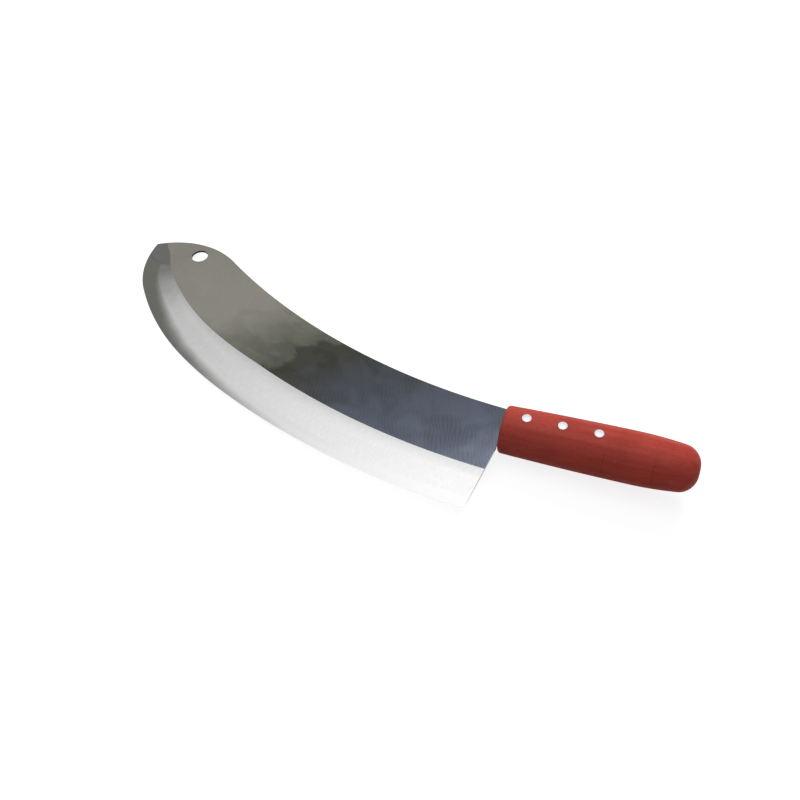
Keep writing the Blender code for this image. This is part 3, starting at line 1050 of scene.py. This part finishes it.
    def add_flat(self, skin: Skin, lines: Outline, half_front: float) -> tuple[Array, int]:
        """Adds the unground flat from the bevel line to the back, with the hanging hole in it.

        Its first row bends with the heel and the handle's front, and the bend fades out along the
        blade by an exponential.

        Args:
            skin: The blade's surface.
            lines: The blade's lines.
            half_front: Half of the handle's width at its front.

        Returns:
            Grid of the near side, and the number of its column at the tang's lower edge.
        """
        inner = lines.back - lines.outward * lines.rounding[:, None]
        front = [(-self.gap, -half_front), (-self.gap, self.tang_bottom)]
        stops = np.array([lines.bevel[0], *front, inner[0]])
        counts = np.ceil(np.diff(arc_lengths(stops)) / self.spacing).astype(int)
        spans = zip(stops[:-1], stops[1:], counts)
        heel = np.vstack([stops[:1]] + [np.linspace(first, last, n + 1)[1:] for first, last, n in spans])
        shares = arc_lengths(heel) / arc_lengths(heel)[-1]
        grid = sweep_between(lines.bevel, inner, shares)
        bend = (heel - grid[0]) * np.exp(-lines.run() / self.bend_fade)[:, None, None]
        bend[-1] = 0.0
        near = at_height(grid + bend, self.thickness / 2.0)
        keep = all_cells(near)
        hub = self.hole_place(lines)
        level = self.thickness / 2.0
        rings = [
            at_height(
                ring_round(hub, self.hole_radius + self.arris * (1.0 - math.sin(turn))),
                level - self.arris * (1.0 - math.cos(turn)),
            )
            for turn in quarter_turn(self.arris_points)
        ]
        skin.add_grid(np.array(rings), Zone.FACE, both=True)
        skin.add_grid(np.stack([rings[-1], other_side(rings[-1])]), Zone.CUT)
        skin.open_hole(near, keep, hub, self.hole_radius + self.spacing, rings[0], Zone.FLAT)
        skin.add_grid(near, Zone.FLAT, keep=keep, both=True)
        return near, int(counts[0] + counts[1])

    def add_back(self, skin: Skin, lines: Outline) -> None:
        """Adds the back's two rounded arrises and the strip between them.

        Each arris is a quarter-round: drawn in by its radius times 1 - sin a, and down by its radius
        times 1 - cos a.

        Args:
            skin: The blade's surface.
            lines: The blade's lines.
        """
        turns = quarter_turn(self.arris_points)
        drawn = lines.rounding[:, None] * (1.0 - np.sin(turns))
        plan = lines.back[:, None] - lines.outward[:, None] * drawn[..., None]
        height = self.thickness / 2.0 - lines.rounding[:, None] * (1.0 - np.cos(turns))
        arris = at_height(plan, height)
        strip = self.wall_under(arris[:, -1])
        skin.add_grid(arris, Zone.OUTER, both=True)
        skin.add_grid(strip, Zone.OUTER)
        inner = arris[0, :1].copy()
        inner[:, 2] = self.tang_thickness / 2.0
        loop = [arris[0], strip[0, 1:-1], other_side(arris[0, ::-1]), other_side(inner), inner]
        skin.add_polygon(np.vstack(loop), Zone.END)

    def add_tang(self, skin: Skin, root: Array, handle: Handle, rivets: Sequence[Rivet]) -> None:
        """Adds the tang: rows between its straight lower edge and a back just under the handle's.

        Args:
            skin: The blade's surface.
            root: The heel wall's points that the tang grows from, from its lower edge up.
            handle: The handle, whose back the tang follows.
            rivets: Rivets that the tang is bored for.
        """
        half = self.tang_thickness / 2.0
        steps = math.ceil(self.tang_length / self.spacing)
        along = np.concatenate([root[:1, 0], np.linspace(0.0, self.tang_length, steps + 1)])
        step_down = float(handle.half_width(0.0)) - self.spine_height
        low = step_down * np.clip(1.0 - along / self.tang_run_up, 0.0, 1.0)
        top = handle.half_width(along) - self.gap - low
        top[0] = root[-1, 1]
        shares = (root[:, 1] - root[0, 1]) / (root[-1, 1] - root[0, 1])
        height = self.tang_bottom + (top - self.tang_bottom)[:, None] * shares
        plan = np.stack([np.broadcast_to(along[:, None], height.shape), height], axis=-1)
        plan[0] = root[:, :2]
        side = at_height(plan, half)
        keep = all_cells(side)
        for rivet in rivets:
            hub = rivet.hub()
            ring = at_height(ring_round(hub, self.bore_radius), half)
            skin.add_grid(np.stack([ring, other_side(ring)]), Zone.CUT)
            skin.open_hole(side, keep, hub, self.bore_radius + self.gap, ring, Zone.TANG)
        skin.add_grid(side, Zone.TANG, keep=keep, both=True)
        for border in (side[:, 0], side[:, -1], side[-1]):
            skin.add_grid(np.stack([border, other_side(border)], axis=1), Zone.END)


@dataclass(frozen=True)
class RolledPlateSteel:
    """High-carbon steel plate, rolled, roughly polished and lightly oiled.

    It gives the eye a smooth grey that runs from warm at the head through a stained olive to a dark
    slate, which lightens again to the heel. This run of tones is mostly a painted reflection of the
    studio's light and dark surroundings in the mirror-like flat, with some real oil patina in it. The
    stains have a clear border. Close chatter rings from the polishing wheel show towards the heel. The
    brushed streaks are drawn several times as wide as a belt leaves them, so that they show. The sizes
    of its patterns are in millimetres.
    """

    # Mostly a painted reflection of the studio along the flat, with some real oil patina: warm grey at the
    # head, dark olive, then slate towards the heel.
    tones: tuple[tuple[float, str], ...] = (
        (0.06, "88867d"),
        (0.23, "908d84"),
        (0.32, "908d84"),
        (0.435, "74746a"),
        (0.515, "5f6055"),
        (0.53, "474842"),
        (0.57, "474842"),
        (0.63, "4a4d4e"),
        (0.76, "535963"),
        (0.90, "5f6572"),
        (0.98, "717785"),
    )
    slant: float = 1.15
    head_place: float = -0.60
    heel_place: float = 0.05
    roughness: Pair = (0.15, 0.23)
    cloud: float = 34.0
    cloud_push: float = 0.06
    stain: Triple = (38.4, 24.0, 24.0)
    stain_depth: float = 0.13
    stain_border: Pair = (0.49, 0.52)
    stain_begins: Pair = (0.38, 0.46)
    stain_ends: Pair = (0.56, 0.66)
    brushing: Triple = (0.9, 26.0, 26.0)
    streak_shades: Pair = (0.96, 1.03)
    relief: Pair = (0.05, 0.00002)
    chatter: float = 3.4
    chatter_middle: Triple = (-570.0, -187.0, 0.0)
    chatter_bend: float = 12.0
    chatter_depth: float = 0.17
    chatter_begins: Pair = (0.50, 0.62)
    chatter_faint: Pair = (0.58, 0.42)
    chatter_least: float = 0.25
    chatter_crest: float = 1.04

    def make(self, frame: KnifeFrame) -> Material:
        """Makes the material in the knife's frame.

        The tones follow the place along the knife less the slant times the height, pushed about by
        the clouds.

        Args:
            frame: The knife's frame.

        Returns:
            The material.
        """
        nodes = Nodes(bpy.data.materials.new("rolled_plate_steel_and_reflection"))
        place = frame.place_in(nodes)
        along, up = nodes.add("SeparateXYZ", {0: place}).node.outputs[:2]
        slanted = nodes.add("Math", {0: up, 1: -self.slant, 2: along}, operation="MULTIPLY_ADD")
        clouds = nodes.patches(place, [self.cloud] * 3, Detail=5.0, Distortion=0.8)
        drift = nodes.add("MapRange", span(clouds, first=-self.cloud_push, last=self.cloud_push))
        moved = nodes.add("Math", {0: slanted, 1: drift}, operation="ADD")
        share = nodes.add("MapRange", span(moved, self.head_place, self.heel_place))
        # The tone ramp is mostly painted reflection of the studio, with some real oil patina.
        tone = nodes.add("ValToRGB", {0: share}, stops=self.tones)

        stains = nodes.patches(place, self.stain, Detail=5.0, Distortion=0.4)
        begun = nodes.add("MapRange", span(share, *self.stain_begins, 0.0, self.stain_depth))
        depth = nodes.add("MapRange", span(share, *self.stain_ends, begun, 0.0))
        stains = nodes.add("MapRange", span(stains, *self.stain_border, 0.0, depth))
        stains = nodes.add("Math", {0: 1.0, 1: stains}, operation="SUBTRACT")

        brushed = nodes.patches(place, self.brushing, Detail=3.0)
        streaks = nodes.add("MapRange", span(brushed, *NOISE_SPAN, *self.streak_shades))

        sockets = {0: place, 1: Vector(self.chatter_middle), 3: Vector([MM_PER_METRE] * 3)}
        in_mm = nodes.add("Mapping", sockets)
        sockets = {0: in_mm, "Scale": RING_GAP / self.chatter, "Distortion": self.chatter_bend}
        sockets |= {"Detail": 2.0, "Detail Scale": 0.4}
        rings = nodes.add("TexWave", sockets, 1, wave_type="RINGS", rings_direction="Z")
        reach = nodes.add("MapRange", span(share, *self.chatter_begins, 0.0, self.chatter_depth))
        uneven = nodes.add("MapRange", span(clouds, *self.chatter_faint, self.chatter_least))
        for factor in (reach, uneven):
            rings = nodes.add("Math", {0: rings, 1: factor}, operation="MULTIPLY")
        rings = nodes.add("Math", {0: self.chatter_crest, 1: rings}, operation="SUBTRACT")
        tone = nodes.darken(tone, (streaks, stains, rings))
        return nodes.surface(tone, span(clouds, *NOISE_SPAN, *self.roughness), (brushed, *self.relief))


@dataclass(frozen=True)
class GroundSteel:
    """The same steel ground on a coarse wheel and left bright.

    It gives the eye a pale satin band with faint scratches from the edge up to the bevel line, nearly
    white at the heel and greyer towards the head: the steel's own pale tone, with a painted reflection
    of the lamp that brightens the heel. The scratches are drawn several times as coarse as a 60 grit
    wheel leaves them, so that they show. Towards the head the grind is darkened by a painted
    reflection of the dark studio round it. The dark part begins along the edge and has reached the
    bevel line by the tip. Just under the belly's bevel line the grind is a little greyer, in a soft
    border, and a thin dark arc shows where the wheel was lifted off the head; inside the arc the
    painted dark reflection is deeper. The sizes of its patterns are in millimetres, and its other
    lengths in metres.
    """

    name: str
    # Heel and head tones: the ground steel's own pale tone, with a painted reflection of the lamp that
    # brightens the heel.
    heel: str = "eaeaea"
    head: str = "cdcdcc"
    # Painted reflection of the dark studio, laid on the grind towards the head.
    dark: str = "8f8f89"
    heel_run: float = 0.03
    head_run: float = 0.37
    roughness: Pair = (0.39, 0.45)
    scratch: Triple = (0.5, 9.0, 1.0)
    scratch_span: Pair = (0.35, 0.65)
    scratch_depth: float = 0.13
    relief: Pair = (0.05, 0.00003)
    wash: Triple = (150.0, 7.0, 1.0)
    wash_share: float = 0.96
    border_span: Pair = (0.034, 0.046)
    border_share: float = 0.84
    dark_from: float = 0.262
    dark_through: float = 0.450
    dark_span: Pair = (0.002, 0.0185)
    dark_fades: Pair = (0.120, 0.065)
    dark_patch: Triple = (18.0, 18.0, 1.0)
    dark_push: float = 0.25
    arc_centre: Triple = (0.5331, 0.0326, 0.0)
    arc_radius: float = 0.0365
    arc_half_width: float = 0.0009
    arc_fade: Pair = (0.020, 0.025)
    arc_inside: Pair = (-0.006, 0.003)
    arc_push: float = 0.35
    arc_share: float = 0.68

    def make(self) -> Material:
        """Makes the material on the grind's own map.

        The painted dark reflection begins where the run along the edge passes a border, which lies
        further from the heel the further the place is from the edge. The arc is the places at its radius
        from its centre, faded out before the bevel line, and inside it the painted dark reflection is
        deeper.

        Returns:
            The material.
        """
        nodes = Nodes(bpy.data.materials.new(self.name))
        flow = nodes.add("UVMap", uv_map=FLOW_MAP)
        run, away = nodes.add("SeparateXYZ", {0: flow}).node.outputs[:2]
        along = nodes.add("MapRange", span(run, self.heel_run, self.head_run))
        # Heel-to-head tone: the steel's own pale tone, with a painted reflection of the lamp at the heel.
        tone = nodes.add("Mix", {0: along, 6: self.heel, 7: self.head}, 2, data_type="RGBA")

        scratches = nodes.patches(flow, self.scratch, Detail=3.0)
        scratched = nodes.add("MapRange", span(scratches, *self.scratch_span, 1.0 - self.scratch_depth))
        wash = nodes.patches(flow, self.wash)
        wash = nodes.add("MapRange", span(wash, *NOISE_SPAN, self.wash_share))
        greyer = nodes.add("MapRange", span(away, *self.border_span, 1.0, self.border_share))

        border = nodes.add("MapRange", span(away, *self.dark_span, self.dark_from, self.dark_through))
        fade = nodes.add("MapRange", span(away, *self.dark_span, *self.dark_fades))
        past = nodes.add("Math", {0: run, 1: border}, operation="SUBTRACT")
        share = nodes.add("Math", {0: past, 1: fade}, operation="DIVIDE")
        cloud = nodes.patches(flow, self.dark_patch, Detail=3.0)
        cloud = nodes.add("MapRange", span(cloud, first=-self.dark_push, last=self.dark_push))
        off = nodes.add("VectorMath", {0: flow, 1: self.arc_centre}, 1, operation="DISTANCE")
        off = nodes.add("Math", {0: off, 1: self.arc_radius}, operation="SUBTRACT")
        inside = nodes.add("MapRange", span(off, *self.arc_inside, self.arc_push, 0.0))
        for more in (cloud, inside):
            share = nodes.add("Math", {0: share, 1: more}, operation="ADD")
        share = nodes.add("MapRange", span(share, low=-1.0), interpolation_type="SMOOTHSTEP")
        # Painted reflection of the dark studio: white where the grind stays bright, the dark tone where it
        # is darkened.
        dark = nodes.add("Mix", {0: share, 6: "ffffff", 7: self.dark}, 2, data_type="RGBA")
        off = nodes.add("Math", {0: off}, operation="ABSOLUTE")
        least = nodes.add("MapRange", span(away, *self.arc_fade, self.arc_share))
        arc = nodes.add("MapRange", span(off, 0.0, self.arc_half_width, least))
        tone = nodes.darken(tone, (scratched, wash, greyer, dark, arc))
        rough = span(scratches, *NOISE_SPAN, *self.roughness)
        return nodes.surface(tone, rough, (scratches, *self.relief))


@dataclass(frozen=True)
class MottledMetal:
    """A metal whose tone, roughness and relief all follow one fine noise.

    It gives the eye two close tones in small patches, whose sizes are in millimetres.
    """

    name: str
    tones: tuple[str, str]
    tone_span: Pair
    sizes: Triple
    detail: float
    roughness: Pair
    relief: Pair

    def make(self, frame: KnifeFrame) -> Material:
        """Makes the material in the knife's frame.

        Args:
            frame: The knife's frame.

        Returns:
            The material.
        """
        nodes = Nodes(bpy.data.materials.new(self.name))
        noise = nodes.patches(frame.place_in(nodes), self.sizes, Detail=self.detail)
        factor = nodes.add("MapRange", span(noise, *self.tone_span))
        tone = nodes.add("Mix", {0: factor, 6: self.tones[0], 7: self.tones[1]}, 2, data_type="RGBA")
        return nodes.surface(tone, span(noise, *NOISE_SPAN, *self.roughness), (noise, *self.relief))


@dataclass(frozen=True)
class DrilledSteel(MottledMetal):
    """The walls of the blade's bores, as drilled and never polished, with old oil in the drill's marks.

    It gives the eye a dark line inside the hanging hole, with faint turned rings. Its tones are darker than
    the oiled steel alone, as painted shade inside the bores.
    """

    name: str = "drilled_steel_painted_shade"
    # Oiled, drilled steel, darkened further as painted shade inside the hanging hole and the bores.
    tones: tuple[str, str] = ("2e2d2a", "474642")
    tone_span: Pair = (0.35, 0.65)
    sizes: Triple = (6.0, 6.0, 0.25)
    detail: float = 2.0
    roughness: Pair = (0.47, 0.63)
    relief: Pair = (0.2, 0.00005)


@dataclass(frozen=True)
class PolishedAluminium(MottledMetal):
    """Aluminium rivets, peened and then buffed with the handle.

    It gives the eye small white domes with a soft grey edge and fine wear in all directions.
    """

    name: str = "polished_aluminium"
    tones: tuple[str, str] = ("ebebec", "cfcfd1")
    tone_span: Pair = (0.45, 0.65)
    sizes: Triple = (0.6, 0.6, 0.6)
    detail: float = 4.0
    roughness: Pair = (0.37, 0.52)
    relief: Pair = (0.1, 0.0001)


@dataclass(frozen=True)
class RedStainedWood:
    """Close-grained hardwood, stained red and waxed.

    It gives the eye a warm brick red with hardly any sheen, short darker pores along the handle, slow
    drifts of lighter and deeper stain and two hairline checks across its belly side. The pores are
    drawn several times as wide as such a wood has them, so that they show. The sizes of its patterns
    are in millimetres, and its other lengths in metres.
    """

    deep: str = "7e2c26"
    red: str = "b8443a"
    worn: str = "c05347"
    roughness: Pair = (0.56, 0.70)
    rough_span: Pair = (0.4, 0.7)
    sheen: float = 0.12
    pore: Triple = (5.0, 0.55, 0.55)
    pore_span: Pair = (0.52, 0.72)
    pore_share: float = 0.5
    pore_relief: Pair = (0.12, 0.0001)
    band: Triple = (120.0, 6.0, 6.0)
    band_span: Pair = (0.35, 0.65)
    drift: Triple = (34.0, 34.0, 34.0)
    drift_span: Pair = (0.3, 0.75)
    drift_share: float = 0.35
    check_places: Pair = (0.0962, 0.1405)
    check_span: Pair = (-0.009, -0.015)
    check_half_width: float = 0.0005
    check_tone: str = "471b17"
    check_share: float = 0.45

    def make(self, frame: KnifeFrame) -> Material:
        """Makes the material in the knife's frame.

        The red turns to the worn tone in bands, and then to the deep one in drifts and in the pores. A
        check is darkest at its place along the handle and fades out over its half width.

        Args:
            frame: The knife's frame.

        Returns:
            The material.
        """
        nodes = Nodes(bpy.data.materials.new("red_stained_hardwood"))
        place = frame.place_in(nodes)
        pores = nodes.patches(place, self.pore, Detail=3.0)
        bands = nodes.patches(place, self.band, Detail=3.0)
        drifts = nodes.patches(place, self.drift)
        tone = self.red
        for noise, ends, most, other in (
            (bands, self.band_span, 1.0, self.worn),
            (drifts, self.drift_span, self.drift_share, self.deep),
            (pores, self.pore_span, self.pore_share, self.deep),
        ):
            factor = nodes.add("MapRange", span(noise, *ends, 0.0, most))
            tone = nodes.add("Mix", {0: factor, 6: tone, 7: other}, 2, data_type="RGBA")
        along, up = nodes.add("SeparateXYZ", {0: place}).node.outputs[:2]
        belly = nodes.add("MapRange", span(up, *self.check_span, 0.0, self.check_share))
        for check in self.check_places:
            away = nodes.add("Math", {0: along, 1: check}, operation="SUBTRACT")
            away = nodes.add("Math", {0: away}, operation="ABSOLUTE")
            factor = nodes.add("MapRange", span(away, 0.0, self.check_half_width, belly, 0.0))
            tone = nodes.add("Mix", {0: factor, 6: tone, 7: self.check_tone}, 2, data_type="RGBA")
        nodes.fill(nodes.shader, {"Specular IOR Level": self.sheen})
        rough = span(pores, *self.rough_span, *self.roughness)
        return nodes.surface(tone, rough, (pores, *self.pore_relief), metallic=0.0, sunk=True)


@dataclass
class Studio:
    """A pale floor, a soft lamp overhead and one beyond the spine, the sky round them and the camera."""

    floor_half: float = 6.0
    floor_tone: str = "a6a6a6"
    floor_shade: str = "9a9a9a"
    floor_tooth: float = 1.2
    floor_tooth_share: float = 0.04
    floor_roughness: float = 0.9
    floor_glow: float = 0.83
    overhead_place: Triple = (0.0, 0.0, 1.5)
    overhead_size: float = 1.6
    overhead_watts: float = 7.0
    beyond_place: Triple = (0.2, 1.75, 1.25)
    beyond_size: float = 1.1
    beyond_watts: float = 35.0
    sky_level: float = 0.22
    sky_tones: tuple[tuple[float, str], ...] = (
        (0.0, "ffffff"),
        (0.5, "ffffff"),
        (0.62, "eeeeef"),
        (1.0, "eeeeef"),
    )
    focal: float = 45.0
    sensor: float = 36.0
    camera_place: Triple = (0.1256, -0.5608, 0.7398)
    camera_right: Triple = (0.9486, 0.3117, -0.0541)
    camera_up: Triple = (-0.2082, 0.7438, 0.6352)

    def build(self, frame: KnifeFrame) -> None:
        """Sets up the floor, the lamps, the sky and the camera.

        Args:
            frame: The knife's frame.
        """
        self.lay_floor()
        self.hang_lamp("overhead_softbox", self.overhead_place, self.overhead_size, self.overhead_watts)
        beyond = self.hang_lamp("softbox_beyond", self.beyond_place, self.beyond_size, self.beyond_watts)
        beyond.visible_glossy = False
        self.light_sky()
        self.place_camera(frame)
        bpy.context.scene.view_settings.view_transform = "Standard"

    def lay_floor(self) -> None:
        """Lays the floor at the height of the knife's lowest point.

        It glows for the camera and for mirror rays, so that it shows white and still takes the knife's
        shadow. The paper's tooth is drawn several times as coarse as it is, so that it can show.
        """
        half = self.floor_half
        corners = [(-half, -half, 0.0), (half, -half, 0.0), (half, half, 0.0), (-half, half, 0.0)]
        mesh = bpy.data.meshes.new("studio_floor")
        mesh.from_pydata(corners, [], [(0, 1, 2, 3)])
        floor = put_in_scene("studio_floor", mesh)
        nodes = Nodes(bpy.data.materials.new("white_paper"))
        tooth = nodes.patches(nodes.add("TexCoord", out="Object"), [self.floor_tooth] * 3)
        factor = nodes.add("MapRange", span(tooth, *NOISE_SPAN, 0.0, self.floor_tooth_share))
        tone = nodes.add("Mix", {0: factor, 6: self.floor_tone, 7: self.floor_shade}, 2, data_type="RGBA")
        glow = nodes.add("Math", {0: self.seen_rays(nodes), 1: self.floor_glow}, operation="MULTIPLY")
        sockets = {"Base Color": tone, "Roughness": self.floor_roughness, "Specular IOR Level": 0.0}
        nodes.fill(nodes.shader, sockets | {"Emission Color": "ffffff", "Emission Strength": glow})
        mesh.materials.append(nodes.owner)

    @staticmethod
    def seen_rays(nodes: Nodes) -> Socket:
        """Tells what is seen from light that falls on matt surfaces.

        Args:
            nodes: Nodes of the floor or of the sky.

        Returns:
            1 for camera, mirror and transmission rays, and 0 for all others.
        """
        rays = nodes.add("LightPath").node.outputs
        seen = rays["Is Camera Ray"]
        for kind in ("Is Glossy Ray", "Is Transmission Ray"):
            seen = nodes.add("Math", {0: seen, 1: rays[kind]}, operation="MAXIMUM")
        return seen

    @staticmethod
    def hang_lamp(name: str, place: Triple, size: float, watts: float) -> bpy.types.Object:
        """Hangs a soft square lamp and points it at the knife.

        Args:
            name: Name of the lamp.
            place: Where its middle hangs.
            size: Length of its side.
            watts: Its power.

        Returns:
            The lamp.
        """
        data = bpy.data.lights.new(name, "AREA")
        data.shape = "SQUARE"
        data.size = size
        data.energy = watts
        lamp = put_in_scene(name, data)
        lamp.location = place
        lamp.rotation_euler = Vector(place).to_track_quat("Z", "Y").to_euler()
        return lamp

    def light_sky(self) -> None:
        """Lights the sky: white to a little grey overhead where it is seen, and dimmer on matt surfaces."""
        world = bpy.data.worlds.new("studio_sky")
        bpy.context.scene.world = world
        nodes = Nodes(world)
        nodes.tree.nodes.clear()
        rise = nodes.add("SeparateXYZ", {0: nodes.add("TexCoord", out="Generated")}, 2)
        shade = nodes.add("ValToRGB", {0: rise}, stops=self.sky_tones)
        shown = nodes.add("Background", {0: shade, 1: 1.0})
        plain = nodes.add("Background", {0: "ffffff", 1: self.sky_level})
        both = nodes.add("MixShader", {0: self.seen_rays(nodes), 1: plain, 2: shown})
        nodes.add("OutputWorld", {0: both})

    def place_camera(self, frame: KnifeFrame) -> None:
        """Places the camera where the photograph was taken from.

        Args:
            frame: The knife's frame, in which the camera's place and axes are given.
        """
        data = bpy.data.cameras.new("photograph_camera")
        data.lens = self.focal
        data.sensor_width = self.sensor
        camera = put_in_scene("photograph_camera", data)
        right, up = np.array(self.camera_right), np.array(self.camera_up)
        axes = np.array([right, up, np.cross(right, up)]) @ frame.axes
        turn = Matrix(axes.T.tolist()).to_4x4()
        place = frame.to_world(np.array(self.camera_place))
        camera.matrix_world = Matrix.Translation(Vector(place.tolist())) @ turn
        bpy.context.scene.camera = camera


def fit(piece: bpy.types.Object, node: str) -> None:
    """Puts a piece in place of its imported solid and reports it.

    Args:
        piece: The piece.
        node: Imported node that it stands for.
    """
    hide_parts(node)
    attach(piece, BODY)
    LOG.info("%s stands for %s", piece.name, node)


def main() -> None:
    """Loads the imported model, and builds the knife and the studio."""
    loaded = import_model()
    rivets = [Rivet(node, place) for node, place in RIVET_PLACES.items()]
    frame = KnifeFrame.from_model(loaded["record"], rivets[0].place, rivets[0].rise)
    handle = Handle()
    plate = RolledPlateSteel().make(frame)
    # Both grinds carry a painted reflection: bright at the heel and darkened towards the head.
    bevel = GroundSteel("wheel_ground_bevel_painted_reflection").make()
    honed = GroundSteel("honed_facet_painted_reflection", "e3e3e3", "c8c8c7", roughness=(0.37, 0.43), scratch_depth=0.07)
    finishes = [
        ({Zone.FLAT, Zone.TANG, Zone.OUTER, Zone.FACE, Zone.END}, plate),
        ({Zone.CUT}, DrilledSteel().make(frame)),
        ({Zone.BEVEL}, bevel),
        ({Zone.FACET, Zone.EDGE}, honed.make()),
    ]
    fit(Blade().build(frame, handle, rivets, finishes), "blade")
    fit(handle.build(frame, rivets, RedStainedWood().make(frame)), "handle")
    metal = PolishedAluminium().make(frame)
    for rivet in rivets:
        fit(rivet.build(frame, handle.seat_height(rivet), metal), rivet.node)
    Studio().build(frame)


if __name__ == "__main__":
    logging.basicConfig(level=logging.INFO, format="%(name)s: %(message)s")
    main()
